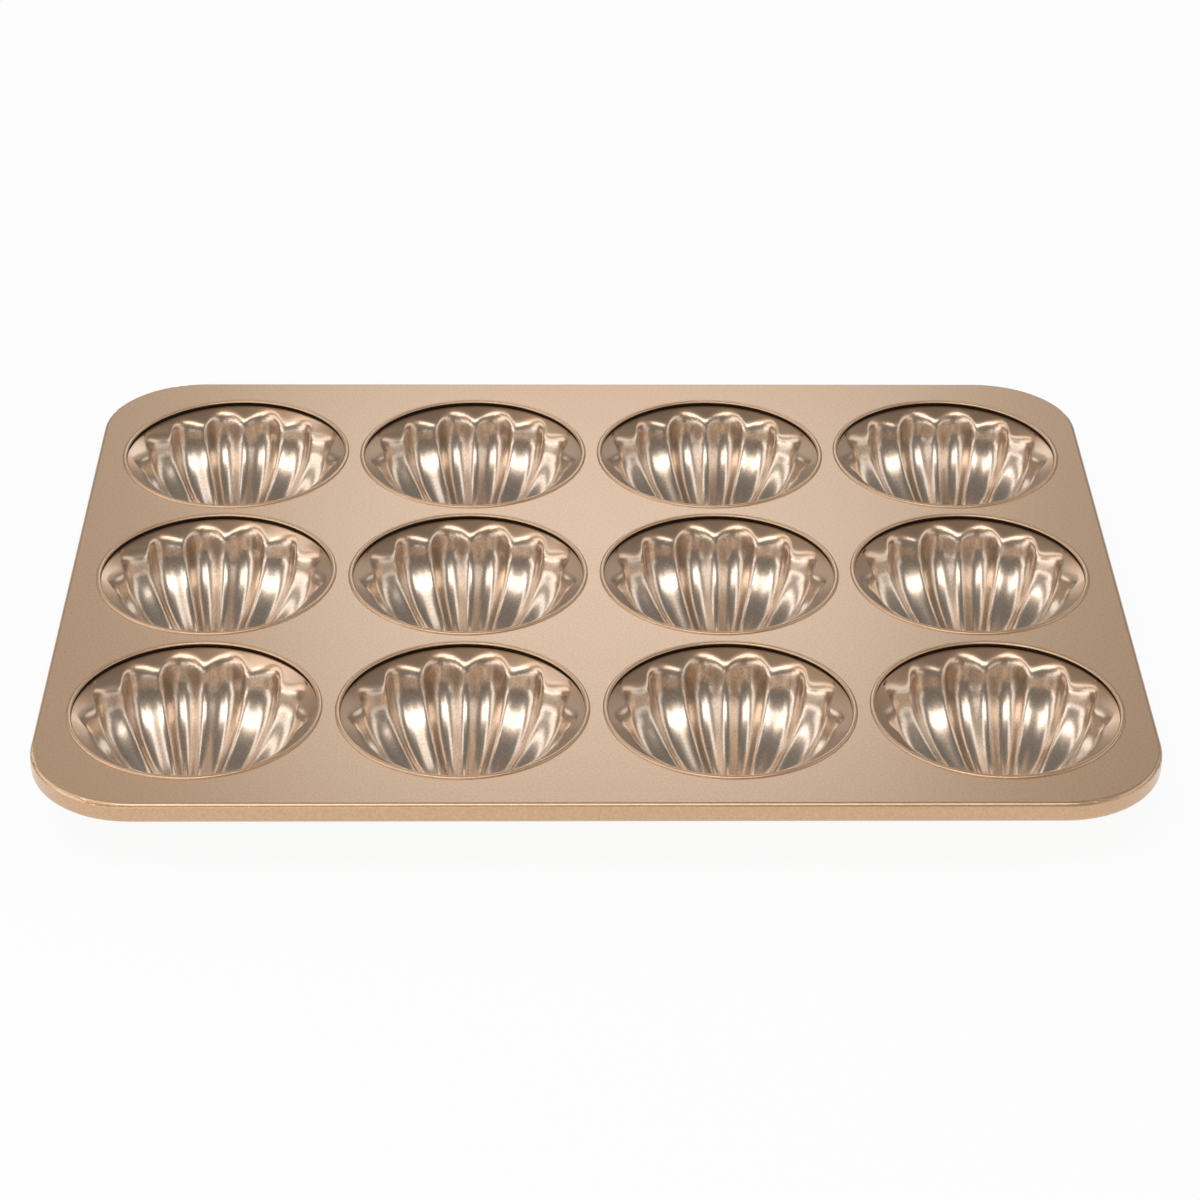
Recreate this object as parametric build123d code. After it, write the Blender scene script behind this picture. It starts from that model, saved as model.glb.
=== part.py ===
"""A madeleine pan: a sheet tray on a wire-stiffened rim, with twelve fluted shell cups locked into it.

Lengths are in millimetres and angles in degrees. X runs along the tray, Y towards its back edge and
Z upwards. The origin is the middle of the plane that the pan rests on.
"""
import os
from math import atan2, comb, cos, exp, hypot, pi, radians, sin, sqrt, tan

import numpy as np
from build123d import *

# Tray sheet: its edge beyond the outer cups, its gauge, and the skirt that is turned down all round
side_margin = 7.75
end_margin = 12.25
tray_corner_radius = 30.0
tray_gauge = 0.6
bend_radius = 1.2
skirt_height = 6.3

# Wire that the skirt's lower edge is rolled round
wire_diameter = 2.4
wire_clearance = 0.05

# Grid of cups
column_count = 4
row_names = ("back", "middle", "front")
column_gap = 3.5
row_gap = 3.5

# Cup sheet, and the lip that is curled over the edge of its hole in the tray
cup_gauge = 0.5
lip_radius = 35.0
lip_bead_radius = 0.75
lip_clearance = 0.05

# Locking crease: the cup swells out just under the tray, so it can't lift out of its hole
crease_depth = 0.4
crease_drop = 0.35
crease_turn = 0.4

# Bowl: the surface that the ridges between the flutes lie on
bowl_inset = 6.0
bowl_depth = 22.0
bowl_centre_drop = 4.5
wall_slope = 78.0
shoulder_slope = 22.0
shoulder_fullness_share = 0.62

# Flutes: a fan of troughs that spread from a point at the front of the cup
flute_count = 8
flute_angle = 12.6
fan_inset = 4.0
flute_depth = 2.3
flute_depth_share = 0.18
flute_start_width = 3.0
flute_roundness = 2.3
ridge_radius = 0.9
arch_inset = 2.6
arch_run = 2.6
arch_start_share = 0.5

# Flats that are pressed on the lowest troughs, so that the pan stands without rocking
foot_press = 0.15

# Patches that lay out the cup's surfaces: bands between the fan's point and the shoulder, by share
band_shares = (0.0, 0.09, 0.42, 0.8, 0.91, 1.0)
band_orders = (7, 6, 6, 6, 9)
flute_order = 10
front_order = 8
front_sector_count = 4
probe_share = 1e-4
foot_probe_count = 200
search_steps = 50

# Sizes that follow from those above
bead_radius = lip_radius + lip_bead_radius
column_pitch = 2 * bead_radius + column_gap
row_pitch = 2 * bead_radius + row_gap
tray_length = (column_count - 1) * column_pitch + 2 * (bead_radius + side_margin)
tray_width = (len(row_names) - 1) * row_pitch + 2 * (bead_radius + end_margin)
bowl_radius = lip_radius - bowl_inset
fan_setback = lip_radius - fan_inset
arch_top_radius = lip_radius - arch_inset
lip_inner_radius = lip_radius - lip_bead_radius
neck_radius = lip_inner_radius + cup_gauge
hole_radius = neck_radius + lip_clearance
crease_radius = lip_inner_radius + crease_depth
crease_height = -tray_gauge - crease_drop
hem_radius = wire_diameter / 2 + wire_clearance + tray_gauge
hem_height = hem_radius - skirt_height
bowl_height = bowl_depth - bowl_centre_drop
fan_half_angle = radians(flute_count * flute_angle / 2)


def ease(share):
    """Smooth step from 0 to 1."""
    share = min(max(share, 0.0), 1.0)
    return share * share * (3 - 2 * share)


def on_curve(share, points):
    """Point on the Bezier curve of these (radius, height) points, and the curve's direction."""
    while len(points) > 2:
        points = [((1 - share) * a + share * c, (1 - share) * b + share * d)
                  for (a, b), (c, d) in zip(points, points[1:])]
    (a, b), (c, d) = points
    return ((1 - share) * a + share * c, (1 - share) * b + share * d), (c - a, d - b)


# Where the shoulder starts below the crease: a little in from the corner of the two
shoulder_out, shoulder_up = cos(radians(shoulder_slope)), sin(radians(shoulder_slope))
crease_corner = (crease_radius, crease_height - crease_turn / 2)
shoulder_radius = crease_corner[0] - crease_turn * shoulder_out
shoulder_height = crease_corner[1] - crease_turn * shoulder_up


def shoulder_points():
    """Bezier points of the shoulder, which rounds off into the bowl's steep wall."""
    beta = atan2(tan(radians(wall_slope)) * bowl_radius, bowl_height)
    wall_r, wall_z = bowl_radius * sin(beta), -bowl_centre_drop - bowl_height * cos(beta)
    along, up = cos(radians(wall_slope)), sin(radians(wall_slope))
    # the tangents of the shoulder and of the wall meet at these distances from the two ends
    gap_r, gap_z = shoulder_radius - wall_r, shoulder_height - wall_z
    turn = shoulder_out * up - shoulder_up * along
    reach_in = shoulder_fullness_share * (gap_r * up - gap_z * along) / turn
    reach_up = shoulder_fullness_share * (gap_z * shoulder_out - gap_r * shoulder_up) / turn
    return [(shoulder_radius, shoulder_height),
            (shoulder_radius - reach_in * shoulder_out, shoulder_height - reach_in * shoulder_up),
            (wall_r + reach_up * along, wall_z + reach_up * up),
            (wall_r, wall_z)]


shoulder_curve = shoulder_points()


def bowl_point(radius):
    """Height of the ridge surface at this radius, and its normal into the metal: out and up."""
    if radius <= shoulder_curve[-1][0]:
        fall = sqrt(1 - (radius / bowl_radius) ** 2)
        z = -bowl_centre_drop - bowl_height * fall
        out, up = bowl_height * radius / (bowl_radius ** 2 * fall), -1.0
    else:
        low, high = 0.0, 1.0
        for _ in range(search_steps):
            middle = (low + high) / 2
            (r, z), _ = on_curve(middle, shoulder_curve)
            low, high = (middle, high) if r > radius else (low, middle)
        (_, z), (back, fall) = on_curve(low, shoulder_curve)
        out, up = -fall, back
    size = hypot(out, up)
    return z, out / size, up / size


def flute_profile(share, width, depth):
    """Depth of a flute across its width: 0 on its ridges, which are rounded, and 1 in its middle."""
    soft = ridge_radius * depth * flute_roundness / (width / 2) ** 2
    distance = (sqrt((1 - abs(share)) ** 2 + soft ** 2) - soft) / (sqrt(1 + soft ** 2) - soft)
    return 1 - (1 - distance) ** flute_roundness


def flute_depth_at(angle, share, radius):
    """How far a flute sinks below the ridge surface: it grows out of the fan's point, with ridges that
    stay rounder than the sheet is thick, and ends in an arch under the shoulder."""
    turn = (angle + pi) % (2 * pi) - pi
    place = (turn + fan_half_angle) / radians(flute_angle)
    if share <= 0 or not 0 < place < flute_count:
        return 0.0
    width = share * rim_reach(angle) * radians(flute_angle)
    depth = min(flute_depth_share * width * (1 - exp(-width / flute_start_width)), flute_depth)
    if share > arch_start_share:
        depth *= ease((arch_top_radius - radius) / arch_run)
    return depth * flute_profile(2 * (place - int(place)) - 1, width, depth) if depth > 0 else 0.0


def rim_reach(angle):
    """Distance from the fan's point to the shoulder's edge, in a direction taken from the back."""
    return fan_setback * cos(angle) + sqrt(shoulder_radius ** 2 - (fan_setback * sin(angle)) ** 2)


def inside_point(angle, share):
    """Point of the cup's inside, in a direction of the fan, at a share of the way to its edge."""
    reach = share * rim_reach(angle)
    x, y = reach * sin(angle), reach * cos(angle) - fan_setback
    radius = min(hypot(x, y), shoulder_radius)
    z, out, up = bowl_point(radius)
    depth = flute_depth_at(angle, share, radius)
    grow = 1 + depth * out / radius if radius > 0 else 1
    return Vector(x * grow, y * grow, z + depth * up)


def outside_point(angle, share):
    """Point of the cup's outside: the inside, moved out by the sheet's gauge."""
    here = inside_point(angle, share)
    if share in (0, 1):
        radius = hypot(here.X, here.Y)
        _, out, up = bowl_point(min(radius, shoulder_radius))
        return here + Vector(here.X * out / radius, here.Y * out / radius, up) * cup_gauge
    side = inside_point(angle + probe_share, share) - inside_point(angle - probe_share, share)
    gap = min(probe_share, share / 2, (1 - share) / 2)
    along = inside_point(angle, share + gap) - inside_point(angle, share - gap)
    return here + along.cross(side).normalized() * cup_gauge


def spread_shares(order):
    """Shares of the way along a patch at which it meets the true surface, closer near its ends."""
    return [(1 - cos(pi * i / order)) / 2 for i in range(order + 1)]


def bezier_net(order):
    """Matrix that turns points on a curve of this order into its control points."""
    rows = [[comb(order, j) * t ** j * (1 - t) ** (order - j) for j in range(order + 1)]
            for t in spread_shares(order)]
    return np.linalg.inv(np.array(rows))


def sectors():
    """Directions of the fan across each sector of the cup: its flutes, then its smooth front."""
    step = radians(flute_angle)
    found = [[-fan_half_angle + step * (flute + share) for share in spread_shares(flute_order)]
             for flute in range(flute_count)]
    first = rim_azimuth(fan_half_angle)
    sweep = (2 * pi - 2 * first) / front_sector_count
    for sector in range(front_sector_count):
        turns = [first + sweep * (sector + share) for share in spread_shares(front_order)]
        found.append([fan_direction(turn) for turn in turns])
    return found


def rim_azimuth(angle):
    """Direction from the cup's centre of the point where a line of the fan meets the rim."""
    reach = rim_reach(angle)
    return atan2(reach * sin(angle), reach * cos(angle) - fan_setback) % (2 * pi)


def fan_direction(azimuth):
    """Direction of the fan's line that meets the rim at this azimuth."""
    x, y = shoulder_radius * sin(azimuth), shoulder_radius * cos(azimuth) + fan_setback
    return atan2(x, y) % (2 * pi)


def bowl_faces(point_at, directions):
    """Faces of one sector of a cup's surface, band by band from the fan's point to the shoulder."""
    faces = []
    across = bezier_net(len(directions) - 1)
    for start, end, order in zip(band_shares, band_shares[1:], band_orders):
        shares = [start + (end - start) * share for share in spread_shares(order)]
        grid = np.array([[tuple(point_at(angle, share)) for share in shares] for angle in directions])
        net = np.einsum("ai,ijk,bj->abk", across, grid, bezier_net(order))
        faces.append(Face.make_bezier_surface([[Vector(*point) for point in row] for row in net]))
    return faces


def lip_curves():
    """Bezier curves of the lip's section as (radius, height), from the inside round to the outside."""
    _, out, up = bowl_point(shoulder_radius)
    inner_end = (shoulder_radius, shoulder_height)
    outer_end = (shoulder_radius + out * cup_gauge, shoulder_height + up * cup_gauge)
    swell = crease_radius + cup_gauge
    outer_corner = (swell, outer_end[1] + (swell - outer_end[0]) * shoulder_up / shoulder_out)
    arc = lip_bead_radius * (sqrt(2) - 1) * 4 / 3
    corners = [(crease_radius, crease_height), (lip_inner_radius, -tray_gauge), (lip_inner_radius, 0)]
    under = [(bead_radius, 0), (neck_radius, 0), (neck_radius, -tray_gauge - lip_clearance),
             (swell, crease_height)]
    top = (lip_radius, lip_bead_radius)
    return [[inner_end, crease_corner, corners[0]],
            *zip(corners, corners[1:]),
            [corners[-1], (lip_inner_radius, arc), (lip_radius - arc, lip_bead_radius), top],
            [top, (lip_radius + arc, lip_bead_radius), (bead_radius, arc), under[0]],
            *zip(under, under[1:]),
            [under[-1], outer_corner, outer_end]]


def lip_faces(directions):
    """Faces of one sector of the lip: the crease, the neck in the hole and the curled bead."""
    azimuths = [rim_azimuth(angle) for angle in directions]
    circle = bezier_net(len(directions) - 1) @ np.array([(sin(a), cos(a)) for a in azimuths])
    return [Face.make_bezier_surface([[Vector(x * r, y * r, z) for r, z in curve] for x, y in circle])
            for curve in lip_curves()]


def make_cup(foot_height):
    """One cup in its own frame, with the tray's top face at height 0."""
    faces = []
    for directions in sectors():
        faces += bowl_faces(inside_point, directions)
        faces += bowl_faces(outside_point, directions)
        faces += lip_faces(directions)
    cup = Solid(Shell(faces))
    below = Box(*3 * (2 * bowl_radius,), align=(Align.CENTER, Align.CENTER, Align.MAX))
    return cup - Location((0, 0, foot_height)) * below


def lowest_point():
    """Height of the underside of the flutes next to the cup's middle, where they are lowest."""
    angle = radians(flute_angle / 2)
    shares = [(i + 1) / (foot_probe_count + 1) for i in range(foot_probe_count)]
    return min(outside_point(angle, share).Z for share in shares)


def frame_wire(inset):
    """Wire round the tray, this far inside its outline."""
    return RectangleRounded(tray_length - 2 * inset, tray_width - 2 * inset,
                            tray_corner_radius - inset).face().outer_wire()


def sweep_round(section, inset):
    """Sweep a section, drawn outwards along X and up along Z, round the line at this inset."""
    start = Location((tray_length / 2 - inset, 0, 0))
    return sweep(start * section, frame_wire(inset))


def skirt_section():
    """Section of the tray's turned-down edge, with its hem rolled round the wire."""
    inner_bend, inner_hem = bend_radius - tray_gauge, hem_radius - tray_gauge
    hem_x = bend_radius - hem_radius
    with BuildSketch(Plane.XZ) as section:
        with BuildLine():
            CenterArc((0, -bend_radius), bend_radius, 0, 90)
            Line((bend_radius, -bend_radius), (bend_radius, hem_height))
            CenterArc((hem_x, hem_height), hem_radius, 0, -270)
            Line((hem_x, hem_height + hem_radius), (hem_x, hem_height + inner_hem))
            CenterArc((hem_x, hem_height), inner_hem, 90, 270)
            Line((inner_bend, hem_height), (inner_bend, -bend_radius))
            CenterArc((0, -bend_radius), inner_bend, 0, 90)
            Line((0, -tray_gauge), (0, 0))
        make_face()
    return section.sketch


def make_tray():
    """Tray sheet: flat, with a hole for each cup, and its skirt and rolled hem."""
    flat = extrude(Face(frame_wire(bend_radius)), amount=-tray_gauge)
    for x, y in cup_places().values():
        flat -= Location((x, y, 0)) * Cylinder(hole_radius, 2 * skirt_height)
    return flat + sweep_round(skirt_section(), bend_radius)


def make_rim_wire():
    """Closed loop of wire inside the tray's hem."""
    with BuildSketch(Plane.XZ) as section:
        Circle(wire_diameter / 2)
    return Location((0, 0, hem_height)) * sweep_round(section.sketch, hem_radius)


def cup_places():
    """Centre of each cup on the tray, by the cup's name."""
    places = {}
    for row, row_name in enumerate(row_names):
        y = ((len(row_names) - 1) / 2 - row) * row_pitch
        for column in range(column_count):
            x = (column - (column_count - 1) / 2) * column_pitch
            places[f"cup_{row_name}_{column + 1}"] = (x, y)
    return places


foot_height = lowest_point() + foot_press
pieces = {"tray_plate": make_tray(), "rim_wire": make_rim_wire()}
cup = make_cup(foot_height)
for name, (x, y) in cup_places().items():
    pieces[name] = Location((x, y, 0)) * cup

os.makedirs("parts", exist_ok=True)
for name, piece in pieces.items():
    export_step(Location((0, 0, -foot_height)) * piece, f"parts/{name}.step")
print(f"tray top {-foot_height:.2f}, lip top {lip_bead_radius - foot_height:.2f}")
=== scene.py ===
"""Looks of the madeleine pan: a tray and twelve fluted cups with a champagne metal coating.

Blender works in metres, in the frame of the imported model: X runs along the tray, Y towards its back
edge and Z upwards. The sheet's sizes are in millimetres here, as the pan is built, and become metres
where a mesh is made.
"""

from math import atan2, cos, pi, radians, sin, tan

import bmesh
import bpy
import numpy as np
from mathutils import Matrix, Vector


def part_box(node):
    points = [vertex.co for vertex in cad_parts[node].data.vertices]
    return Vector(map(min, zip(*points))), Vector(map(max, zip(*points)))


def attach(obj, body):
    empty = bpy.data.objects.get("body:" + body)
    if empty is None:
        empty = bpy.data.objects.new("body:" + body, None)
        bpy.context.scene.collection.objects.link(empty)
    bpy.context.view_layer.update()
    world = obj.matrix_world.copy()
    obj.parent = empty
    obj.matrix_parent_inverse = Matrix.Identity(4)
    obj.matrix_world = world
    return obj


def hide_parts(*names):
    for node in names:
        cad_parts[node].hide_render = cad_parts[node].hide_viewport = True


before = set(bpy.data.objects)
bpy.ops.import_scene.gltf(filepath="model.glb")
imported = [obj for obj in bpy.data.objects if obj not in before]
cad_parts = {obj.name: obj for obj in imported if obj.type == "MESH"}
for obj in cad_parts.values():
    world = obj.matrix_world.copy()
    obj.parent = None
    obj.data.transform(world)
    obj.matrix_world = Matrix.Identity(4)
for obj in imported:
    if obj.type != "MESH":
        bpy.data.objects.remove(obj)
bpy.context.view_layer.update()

MM = 0.001

# Tray sheet
tray_gauge = 0.6

# Cup sheet, lip and locking crease
cup_gauge = 0.5
lip_radius = 35.0
lip_bead_radius = 0.75
lip_height = 0.5
lip_clearance = 0.05
crease_depth = 0.5
crease_drop = 0.35
crease_turn = 0.3

# Bowl that the ridges lie on
bowl_radius = 27.8
bowl_depth = 22.0
bowl_centre_drop = 4.5
wall_slope = 74.0
shoulder_slope = 22.0
shoulder_bend_radius = 3.4

# Flutes
flute_count = 8
flute_angle = 12.6
fan_setback = 31.0
flute_depth = 3.0
flute_depth_share = 0.25
flute_start_width = 3.0
flute_roundness = 2.1
ridge_radius = 3.4

# Coating: its flakes, its two shades, and how rough the metal and the clear sheen over it are
flake_scale = 1500.0
flake_detail = 2.0
flake_height = 0.00002
flake_shares = (0.35, 0.65)
tray_shades = ((0.56, 0.33, 0.165), (0.63, 0.39, 0.205))
tray_roughness = 0.44
tray_sheen_roughness = 0.26
tray_sheen_ior = 1.85
tray_bump = 0.12
# The cups' shades are paler and greyer than the tray's as painted reflection tone; cups and tray share one
# coating
cup_shades = ((0.58, 0.44, 0.33), (0.70, 0.56, 0.44))
cup_roughness = 0.29
cup_sheen_roughness = 0.12
cup_sheen_ior = 1.6
cup_bump = 0.06

# Painted reflection tone: the cups are painted as warm as the tray near their lips, down to this height, and
# greyer below, though cups and tray share one coating
painted_shoulder_reflection_colour = (0.60, 0.36, 0.20)
shoulder_roughness = 0.34
shoulder_foot = -5.0

# Painted shadow: near-black metal in the groove inside the lips, where the real seam is only in shade; and
# the bare rim wire
groove_shadow_paint_colour = (0.03, 0.02, 0.015)
groove_shadow_paint_roughness = 0.5
wire_colour = (0.55, 0.55, 0.56)
wire_roughness = 0.3

# How finely the meshes are cut
flute_columns = 16
front_columns = 30
ridge_crowding = 0.7
inside_rows = 72
outside_rows = 40
length_samples = 600
curve_steps = 6
bead_steps = 8
probe_share = 1e-4
crease_angle = radians(38)

# White floor, dim surroundings, and soft lamps that face the pan: each has its azimuth, taken from the
# back towards the right, its elevation, its width and height, and its level, where 1 is white
floor_reach = 6.0
floor_colour = (0.85, 0.85, 0.85)
floor_glow_share = 0.93
world_level = 0.22
lamp_distance = 1.3
lamps = {
    "back_light": (1, 33, 0.45, 0.3, 2.0),
    "back_wide_light": (0, 30, 1.4, 0.5, 0.4),
    "left_light": (275, 33, 1.6, 0.5, 1.6),
    "left_low_light": (240, 13, 1.2, 0.35, 2.2),
    "right_light": (80, 33, 1.5, 0.45, 1.2),
    "right_low_light": (118, 14, 1.0, 0.3, 1.0),
    "top_light": (180, 66, 1.1, 0.6, 2.8),
    "overhead_light": (255, 66, 2.4, 0.3, 1.8),
    "front_light": (195, 5, 0.9, 0.25, 2.2),
}

# Camera of the photograph: a long lens, in front of the pan and a little to its left
sensor_width = 36.0
lens = 104.0
camera_offset = (-0.012725, -0.893156, 0.524456)
camera_pitch = radians(30.872)
camera_yaw = radians(0.941)
camera_roll = radians(0.468)
camera_near, camera_far = 0.01, 100.0

# Sizes that follow from those above
lip_inner_radius = lip_radius - lip_bead_radius
neck_radius = lip_inner_radius + cup_gauge
crease_radius = lip_inner_radius + crease_depth
crease_height = -tray_gauge - crease_drop
bowl_height = bowl_depth - bowl_centre_drop
fan_half_angle = radians(flute_count * flute_angle / 2)
shoulder_out, shoulder_up = cos(radians(shoulder_slope)), sin(radians(shoulder_slope))
crease_corner = (crease_radius, crease_height - crease_turn / 2)
shoulder_radius = crease_corner[0] - crease_turn * shoulder_out
shoulder_height = crease_corner[1] - crease_turn * shoulder_up

tray_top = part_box("tray_plate")[1].z
cup_names = sorted(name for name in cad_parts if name.startswith("cup_"))


def ease(share):
    """Smooth step from 0 to 1."""
    share = np.clip(share, 0.0, 1.0)
    return share * share * (3 - 2 * share)


def on_curve(share, points):
    """Points on the Bezier curve of these (radius, height) points."""
    points = [np.array(point, float) for point in points]
    share = np.asarray(share, float)[..., None]
    while len(points) > 1:
        points = [(1 - share) * a + share * b for a, b in zip(points, points[1:])]
    return points[0]


def bowl_corners():
    """Where the shoulder's bend starts and ends, and where the straight wall runs into the bowl."""
    beta = atan2(tan(radians(wall_slope)) * bowl_radius, bowl_height)
    foot = (bowl_radius * sin(beta), -bowl_centre_drop - bowl_height * cos(beta))
    shoulder_rise, wall_rise = tan(radians(shoulder_slope)), tan(radians(wall_slope))
    corner_r = (shoulder_height - shoulder_rise * shoulder_radius - foot[1] + wall_rise * foot[0]) \
        / (wall_rise - shoulder_rise)
    corner_z = foot[1] + (corner_r - foot[0]) * wall_rise
    run = shoulder_bend_radius * tan(radians(wall_slope - shoulder_slope) / 2)
    start = (corner_r + run * shoulder_out, corner_z + run * shoulder_up)
    end = (corner_r - run * cos(radians(wall_slope)), corner_z - run * sin(radians(wall_slope)))
    return start, end, foot


bend_start, bend_end, wall_foot = bowl_corners()
bend_centre = (bend_start[0] + shoulder_bend_radius * shoulder_up,
               bend_start[1] - shoulder_bend_radius * shoulder_out)


def bowl_surface(radius):
    """Height of the ridge surface at these radii, and its slope as an angle."""
    inner = np.minimum(radius, wall_foot[0])
    fall = np.sqrt(1 - (inner / bowl_radius) ** 2)
    z = -bowl_centre_drop - bowl_height * fall
    slope = np.arctan2(bowl_height * inner, bowl_radius ** 2 * fall)
    on_wall = (radius > wall_foot[0]) & (radius <= bend_end[0])
    z = np.where(on_wall, wall_foot[1] + (radius - wall_foot[0]) * tan(radians(wall_slope)), z)
    turned = np.clip((bend_centre[0] - radius) / shoulder_bend_radius, shoulder_up, sin(radians(wall_slope)))
    on_bend = (radius > bend_end[0]) & (radius <= bend_start[0])
    z = np.where(on_bend, bend_centre[1] + shoulder_bend_radius * np.sqrt(1 - turned ** 2), z)
    slope = np.where(on_wall, radians(wall_slope), np.where(on_bend, np.arcsin(turned), slope))
    on_shoulder = radius > bend_start[0]
    z = np.where(on_shoulder, shoulder_height - (shoulder_radius - radius) * tan(radians(shoulder_slope)), z)
    slope = np.where(on_shoulder, radians(shoulder_slope), slope)
    return z, slope


def flute_shift(radius, slope):
    """Which way the flutes sink from the ridge surface, as (out, up) for each unit of depth.

    Low in the bowl they sink square to the surface. At the wall and its bend they shift along the
    shoulder's slope, which carries the bend outwards, and from the bend to the edge that shift fades.
    """
    turn = radians(wall_slope - shoulder_slope)
    slide = ease(slope / radians(wall_slope)) / tan(turn)
    out = np.sin(slope) + slide * np.cos(slope)
    up = -np.cos(slope) + slide * np.sin(slope)
    fade = ease((shoulder_radius - radius) / (shoulder_radius - bend_start[0]))
    along = np.where(radius > bend_start[0], fade, 1.0) / sin(turn)
    above = radius > wall_foot[0]
    return np.where(above, along * shoulder_out, out), np.where(above, along * shoulder_up, up)


def rim_reach(angle):
    """Distance from the fan's point to the shoulder's edge, in a direction taken from the back."""
    return fan_setback * np.cos(angle) + np.sqrt(shoulder_radius ** 2 - (fan_setback * np.sin(angle)) ** 2)


def flute_depths(angle, share):
    """How far the flutes sink below the ridge surface, between rounded ridges."""
    turn = (angle + pi) % (2 * pi) - pi
    place = (turn + fan_half_angle) / radians(flute_angle)
    in_fan = (share > 0) & (place > 0) & (place < flute_count)
    width = np.maximum(share, probe_share) * rim_reach(angle) * radians(flute_angle)
    depth = np.minimum(flute_depth_share * width * (1 - np.exp(-width / flute_start_width)), flute_depth)
    soft = ridge_radius * depth * flute_roundness / (width / 2) ** 2
    across = np.abs(2 * (place - np.floor(place)) - 1)
    distance = (np.hypot(1 - across, soft) - soft) / (np.hypot(1, soft) - soft)
    return np.where(in_fan, depth * (1 - (1 - distance) ** flute_roundness), 0.0)


def inside_points(angle, share):
    """Points of the cup's inside, in directions of the fan, at shares of the way to its edge."""
    reach = share * rim_reach(angle)
    x, y = reach * np.sin(angle), reach * np.cos(angle) - fan_setback
    radius = np.minimum(np.hypot(x, y), shoulder_radius)
    z, slope = bowl_surface(radius)
    out, up = flute_shift(radius, slope)
    depth = flute_depths(angle, share)
    grow = 1 + depth * out / np.maximum(radius, probe_share)
    return np.stack([x * grow, y * grow, z + depth * up], axis=-1)


def outside_points(angle, share):
    """Points of the cup's outside: the inside, moved out by the sheet's gauge."""
    here = inside_points(angle, share)
    side = inside_points(angle + probe_share, share) - inside_points(angle - probe_share, share)
    gap = np.minimum(probe_share, np.minimum(share / 2, (1 - share) / 2))
    along = inside_points(angle, share + gap) - inside_points(angle, share - gap)
    normal = np.cross(along, side)
    size = np.linalg.norm(normal, axis=-1, keepdims=True)
    radius = np.hypot(here[..., 0], here[..., 1])
    _, slope = bowl_surface(np.minimum(radius, shoulder_radius))
    plain = np.stack([here[..., 0] * np.sin(slope) / radius, here[..., 1] * np.sin(slope) / radius,
                      -np.cos(slope)], axis=-1)
    at_end = ((share <= 0) | (share >= 1))[..., None]
    return here + np.where(at_end, plain, normal / np.maximum(size, probe_share ** 3)) * cup_gauge


def fan_angles():
    """Directions of the fan that a cup's columns follow, once round: its flutes, then its front."""
    step = radians(flute_angle)
    even = np.arange(flute_columns) / flute_columns
    across = even - ridge_crowding * np.sin(2 * pi * even) / (2 * pi)
    turns = [-fan_half_angle + step * (flute + share) for flute in range(flute_count) for share in across]
    reach = rim_reach(fan_half_angle)
    first = atan2(reach * sin(fan_half_angle), reach * cos(fan_half_angle) - fan_setback) % (2 * pi)
    for column in range(front_columns):
        turn = first + (2 * pi - 2 * first) * column / front_columns
        turns.append(atan2(shoulder_radius * sin(turn), shoulder_radius * cos(turn) + fan_setback))
    return np.unwrap(np.array(turns))


def even_shares(angles, rows):
    """Shares that part each column of the cup's inside into rows of equal length, without the tip."""
    shares = np.linspace(0, 1, length_samples)
    grid_angles, grid_shares = np.meshgrid(angles, shares)
    steps = np.linalg.norm(np.diff(inside_points(grid_angles, grid_shares), axis=0), axis=-1)
    lengths = np.concatenate([np.zeros((1, len(angles))), np.cumsum(steps, axis=0)])
    wanted = np.arange(1, rows + 1) / rows
    return np.stack([np.interp(wanted * lengths[-1, column], lengths[:, column], shares)
                     for column in range(len(angles))], axis=1)


def lip_section():
    """The lip's section as (radius, height), from the inside's edge round to the outside's edge."""
    outer_end = (shoulder_radius + shoulder_up * cup_gauge, shoulder_height - shoulder_out * cup_gauge)
    swell = crease_radius + cup_gauge
    outer_corner = (swell, outer_end[1] + (swell - outer_end[0]) * shoulder_up / shoulder_out)
    steps = np.arange(1, curve_steps + 1) / curve_steps
    inner_turn = on_curve(steps, [(shoulder_radius, shoulder_height), crease_corner,
                                  (crease_radius, crease_height)])
    bead = [(lip_radius - lip_bead_radius * cos(turn), lip_height * sin(turn))
            for turn in np.linspace(0, pi, 2 * bead_steps + 1)]
    outer_turn = on_curve(steps, [(swell, crease_height), outer_corner, outer_end])
    return np.array([*inner_turn, (lip_inner_radius, -tray_gauge), *bead, (neck_radius, 0),
                     (neck_radius, -tray_gauge - lip_clearance), (swell, crease_height),
                     *outer_turn[:-1]])


def join_rings(rings):
    """Quads between each ring of points and the next, and the rings' points in one list."""
    columns = len(rings[0])
    points = np.concatenate(rings)
    faces = [(row * columns + column, row * columns + (column + 1) % columns,
              (row + 1) * columns + (column + 1) % columns, (row + 1) * columns + column)
             for row in range(len(rings) - 1) for column in range(columns)]
    return points, faces


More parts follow.
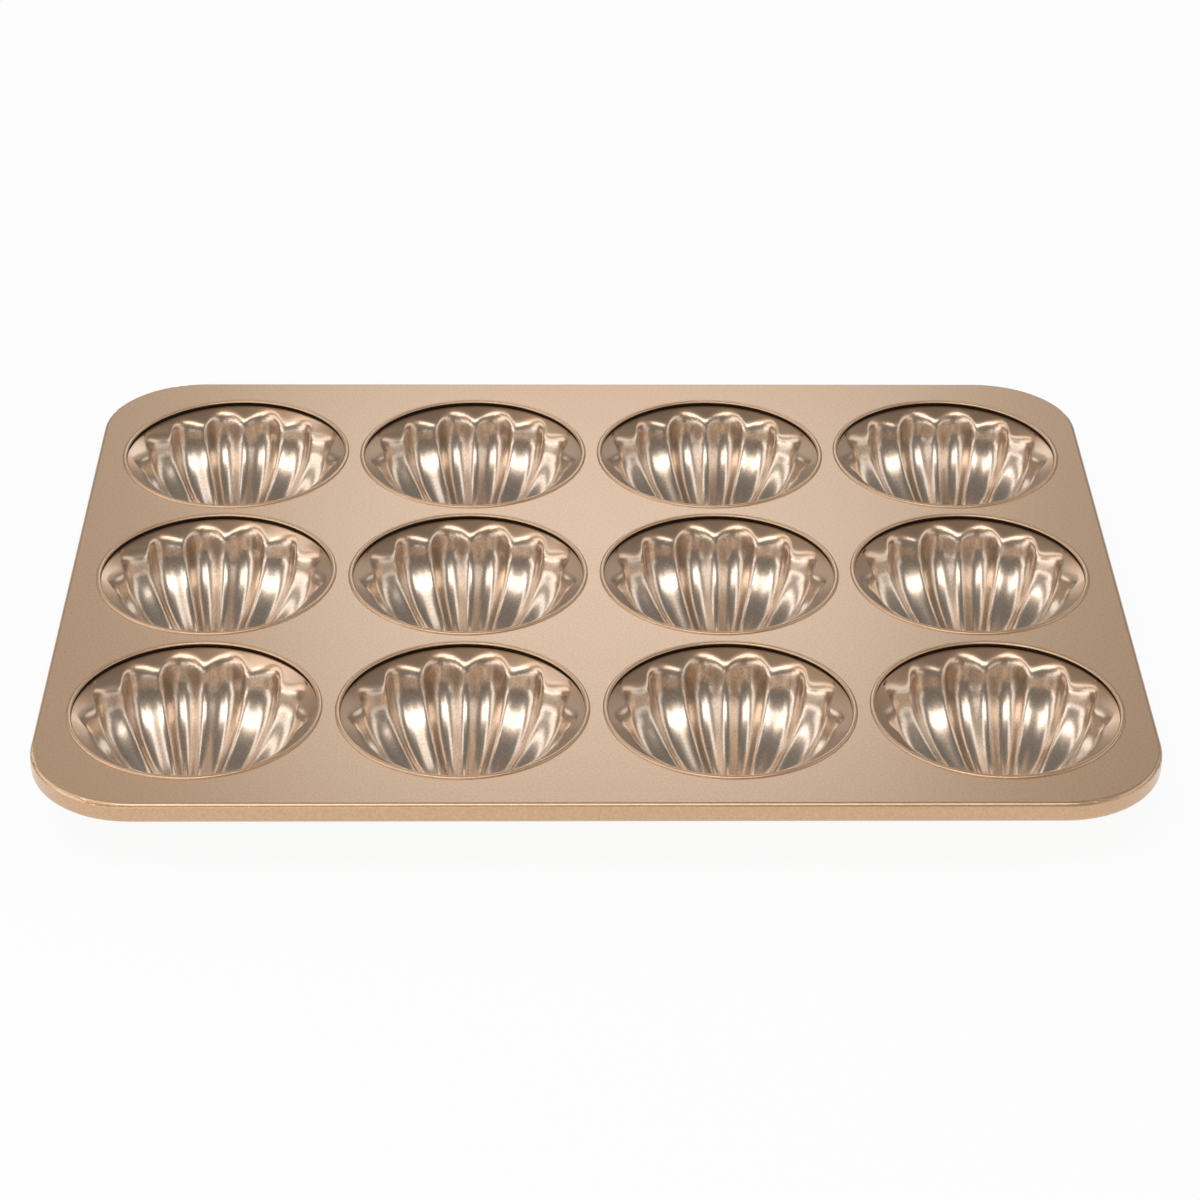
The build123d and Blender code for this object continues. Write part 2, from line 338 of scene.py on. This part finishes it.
def cup_mesh():
    """The cup as one closed mesh, with the tray's top face at height 0."""
    angles = fan_angles()
    reach = rim_reach(angles)
    azimuths = np.arctan2(reach * np.sin(angles), reach * np.cos(angles) - fan_setback)
    rings = [inside_points(angles, shares) for shares in even_shares(angles, inside_rows)]
    rings += [np.stack([radius * np.sin(azimuths), radius * np.cos(azimuths),
                        np.full_like(azimuths, height)], axis=-1) for radius, height in lip_section()]
    outside = [outside_points(angles, shares) for shares in even_shares(angles, outside_rows)]
    rings += outside[::-1]
    points, faces = join_rings(rings)
    count, columns = len(points), len(angles)
    tip = np.array([0.0])
    tips = [inside_points(tip, tip)[0], outside_points(tip, tip)[0]]
    faces += [(count, (column + 1) % columns, column) for column in range(columns)]
    last = count - columns
    faces += [(count + 1, last + column, last + (column + 1) % columns) for column in range(columns)]
    points = np.concatenate([points, np.array(tips)]) * MM
    points[:, 2] = np.maximum(points[:, 2], -tray_top)
    mesh = finish_mesh("cup", points, faces)
    slots = np.zeros(len(faces), dtype=int)
    groove_row, lip_row = inside_rows - 1, inside_rows + curve_steps + 1
    # Slot 1 paints the groove under the lip near-black as painted shadow; slot 2 gives the bead the tray's
    # coating
    slots[groove_row * columns:lip_row * columns] = 1
    slots[lip_row * columns:(lip_row + 2 * bead_steps) * columns] = 2
    mesh.polygons.foreach_set("material_index", slots)
    return mesh


def finish_mesh(name, points, faces):
    """Mesh of these points and faces, facing outwards, smooth apart from its sharp edges."""
    mesh = bpy.data.meshes.new(name)
    mesh.from_pydata([tuple(point) for point in points], [], faces)
    work = bmesh.new()
    work.from_mesh(mesh)
    bmesh.ops.recalc_face_normals(work, faces=work.faces)
    work.to_mesh(mesh)
    work.free()
    mesh.shade_smooth()
    mesh.set_sharp_from_angle(angle=crease_angle)
    return mesh


def add_piece(name, mesh, place, node):
    """A piece that stands for a CAD node, in its place."""
    piece = bpy.data.objects.new(name, mesh)
    bpy.context.scene.collection.objects.link(piece)
    piece.location = place
    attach(piece, "root")
    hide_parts(node)
    return piece


def new_material(name):
    """A material with an empty node tree."""
    material = bpy.data.materials.new(name)
    material.use_nodes = True
    material.node_tree.nodes.clear()
    return material


def add_node(material, kind, **values):
    """A shader node with these sockets or settings set."""
    node = material.node_tree.nodes.new(kind)
    for key, value in values.items():
        if key in node.inputs:
            node.inputs[key].default_value = value
        else:
            setattr(node, key, value)
    return node


def link(material, source, target):
    material.node_tree.links.new(source, target)


def flake_noise(material):
    """Fine noise in the object's own space, as a value around a half."""
    place = add_node(material, "ShaderNodeTexCoord")
    noise = add_node(material, "ShaderNodeTexNoise", Scale=flake_scale, Detail=flake_detail)
    link(material, place.outputs["Object"], noise.inputs["Vector"])
    return noise.outputs["Fac"]


def spread(material, value, low, high, low_out, high_out):
    """A value carried from one range to another."""
    turn = add_node(material, "ShaderNodeMapRange")
    for key, number in zip(("From Min", "From Max", "To Min", "To Max"), (low, high, low_out, high_out)):
        turn.inputs[key].default_value = number
    link(material, value, turn.inputs["Value"])
    return turn.outputs["Result"]


def blend(material, share, first, second):
    """Two colours, or the outputs that give them, mixed by a share."""
    mix = add_node(material, "ShaderNodeMix", data_type="RGBA")
    link(material, share, mix.inputs[0])
    for socket, colour in ((mix.inputs[6], first), (mix.inputs[7], second)):
        if isinstance(colour, tuple):
            socket.default_value = (*colour, 1)
        else:
            link(material, colour, socket)
    return mix.outputs[2]


def finish_material(material, shader):
    """The material, with this shader as its surface."""
    output = add_node(material, "ShaderNodeOutputMaterial")
    link(material, shader.outputs["BSDF"], output.inputs["Surface"])
    return material


def coating(name, shades, roughness, sheen_roughness, sheen_ior, bump):
    """Metal-flake non-stick coating: a rough coloured metal under a smoother clear sheen."""
    material = new_material(name)
    shader = add_node(material, "ShaderNodeBsdfPrincipled", Metallic=1.0, Roughness=roughness)
    shader.inputs["Coat Weight"].default_value = 1.0
    shader.inputs["Coat Roughness"].default_value = sheen_roughness
    shader.inputs["Coat IOR"].default_value = sheen_ior
    flakes = flake_noise(material)
    colour = blend(material, spread(material, flakes, *flake_shares, 0.0, 1.0), *shades)
    link(material, colour, shader.inputs["Base Color"])
    height = add_node(material, "ShaderNodeBump", Strength=bump, Distance=flake_height)
    link(material, flakes, height.inputs["Height"])
    link(material, height.outputs["Normal"], shader.inputs["Normal"])
    link(material, height.outputs["Normal"], shader.inputs["Coat Normal"])
    return finish_material(material, shader), shader, colour


def paint_shoulder_reflection(material, shader, colour):
    """Near its lip the cup is painted as warm as the tray, as painted reflection tone, and is nearly as
    rough.
    """
    place = add_node(material, "ShaderNodeTexCoord")
    parts = add_node(material, "ShaderNodeSeparateXYZ")
    link(material, place.outputs["Object"], parts.inputs["Vector"])
    share = spread(material, parts.outputs["Z"], shoulder_foot * MM, shoulder_height * MM, 0.0, 1.0)
    link(material, blend(material, share, colour, painted_shoulder_reflection_colour), shader.inputs["Base Color"])
    link(material, spread(material, share, 0.0, 1.0, cup_roughness, shoulder_roughness),
         shader.inputs["Roughness"])


def plain_metal(name, base, roughness):
    """Bare metal, or metal painted as shadow, in one colour."""
    material = new_material(name)
    shader = add_node(material, "ShaderNodeBsdfPrincipled", Metallic=1.0, Roughness=roughness)
    shader.inputs["Base Color"].default_value = (*base, 1)
    return finish_material(material, shader)


tray_coating, _, _ = coating("tray_coating", tray_shades, tray_roughness, tray_sheen_roughness,
                             tray_sheen_ior, tray_bump)
cup_coating, cup_shader, cup_colour = coating("cup_coating", cup_shades, cup_roughness, cup_sheen_roughness,
                                              cup_sheen_ior, cup_bump)
# Painted reflection tone: warm near the lip, greyer below
paint_shoulder_reflection(cup_coating, cup_shader, cup_colour)
# Near-black painted shadow for the groove under each lip
painted_groove_shadow = plain_metal("painted_groove_shadow", groove_shadow_paint_colour, groove_shadow_paint_roughness)
wire_steel = plain_metal("wire_steel", wire_colour, wire_roughness)


def place_cups():
    mesh = cup_mesh()
    for material in (cup_coating, painted_groove_shadow, tray_coating):
        mesh.materials.append(material)
    for name in cup_names:
        low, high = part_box(name)
        place = ((low.x + high.x) / 2, (low.y + high.y) / 2, tray_top)
        add_piece(name.replace("cup", "fluted_cup"), mesh, place, name)


def repaint(name, material):
    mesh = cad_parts[name].data
    mesh.materials.clear()
    mesh.materials.append(material)


place_cups()
repaint("tray_plate", tray_coating)
repaint("rim_wire", wire_steel)


def camera_axes():
    """The camera's right, up and forward directions."""
    forward = Vector((sin(camera_yaw) * cos(camera_pitch), cos(camera_yaw) * cos(camera_pitch),
                      -sin(camera_pitch)))
    level = Vector((cos(camera_yaw), -sin(camera_yaw), 0))
    raised = level.cross(forward)
    right = cos(camera_roll) * level + sin(camera_roll) * raised
    up = cos(camera_roll) * raised - sin(camera_roll) * level
    return right, up, forward


def make_camera():
    data = bpy.data.cameras.new("camera")
    data.sensor_width = sensor_width
    data.lens = lens
    data.clip_start, data.clip_end = camera_near, camera_far
    camera = bpy.data.objects.new("camera", data)
    right, up, forward = camera_axes()
    turn = Matrix((right, up, -forward)).transposed()
    place = Vector(camera_offset) + Vector((0, 0, tray_top))
    camera.matrix_world = Matrix.Translation(place) @ turn.to_4x4()
    bpy.context.scene.collection.objects.link(camera)
    bpy.context.scene.camera = camera


make_camera()


def make_floor():
    """White floor that keeps the pan's shadow and can be looked through from below."""
    mesh = bpy.data.meshes.new("floor")
    corners = [(x * floor_reach, y * floor_reach, 0) for x, y in ((-1, -1), (1, -1), (1, 1), (-1, 1))]
    mesh.from_pydata(corners, [], [(0, 1, 2, 3)])
    floor = bpy.data.objects.new("floor", mesh)
    bpy.context.scene.collection.objects.link(floor)
    material = new_material("floor_white")
    plain = add_node(material, "ShaderNodeBsdfDiffuse", Color=(*floor_colour, 1))
    glow = add_node(material, "ShaderNodeEmission", Strength=1.0)
    clear = add_node(material, "ShaderNodeBsdfTransparent")
    path = add_node(material, "ShaderNodeLightPath")
    seen = add_node(material, "ShaderNodeMath", operation="MAXIMUM")
    seen_through = add_node(material, "ShaderNodeMath", operation="MAXIMUM")
    share = add_node(material, "ShaderNodeMath", operation="MULTIPLY")
    share.inputs[1].default_value = floor_glow_share
    link(material, path.outputs["Is Camera Ray"], seen.inputs[0])
    link(material, path.outputs["Is Glossy Ray"], seen.inputs[1])
    link(material, seen.outputs[0], seen_through.inputs[0])
    link(material, path.outputs["Is Transmission Ray"], seen_through.inputs[1])
    link(material, seen_through.outputs[0], share.inputs[0])
    top = add_node(material, "ShaderNodeMixShader")
    link(material, share.outputs[0], top.inputs[0])
    link(material, plain.outputs[0], top.inputs[1])
    link(material, glow.outputs[0], top.inputs[2])
    face = add_node(material, "ShaderNodeNewGeometry")
    whole = add_node(material, "ShaderNodeMixShader")
    link(material, face.outputs["Backfacing"], whole.inputs[0])
    link(material, top.outputs[0], whole.inputs[1])
    link(material, clear.outputs[0], whole.inputs[2])
    output = add_node(material, "ShaderNodeOutputMaterial")
    link(material, whole.outputs[0], output.inputs["Surface"])
    mesh.materials.append(material)


make_floor()


def make_world():
    world = bpy.data.worlds.new("studio")
    world.use_nodes = True
    world.node_tree.nodes["Background"].inputs["Color"].default_value = (1, 1, 1, 1)
    world.node_tree.nodes["Background"].inputs["Strength"].default_value = world_level
    bpy.context.scene.world = world


def soft_box(name, azimuth, elevation, width, height, level):
    """A soft lamp that faces the pan; its azimuth is taken from the back, towards the right."""
    data = bpy.data.lights.new(name, "AREA")
    data.shape = "RECTANGLE"
    data.size, data.size_y = width, height
    data.energy = level * pi * width * height
    lamp = bpy.data.objects.new(name, data)
    turn, rise = radians(azimuth), radians(elevation)
    away = Vector((sin(turn) * cos(rise), cos(turn) * cos(rise), sin(rise)))
    facing = away.to_track_quat("Z", "Y").to_matrix().to_4x4()
    lamp.matrix_world = Matrix.Translation(lamp_distance * away) @ facing
    bpy.context.scene.collection.objects.link(lamp)


make_world()
for lamp_name, lamp in lamps.items():
    soft_box(lamp_name, *lamp)

bpy.context.scene.view_settings.view_transform = "Standard"
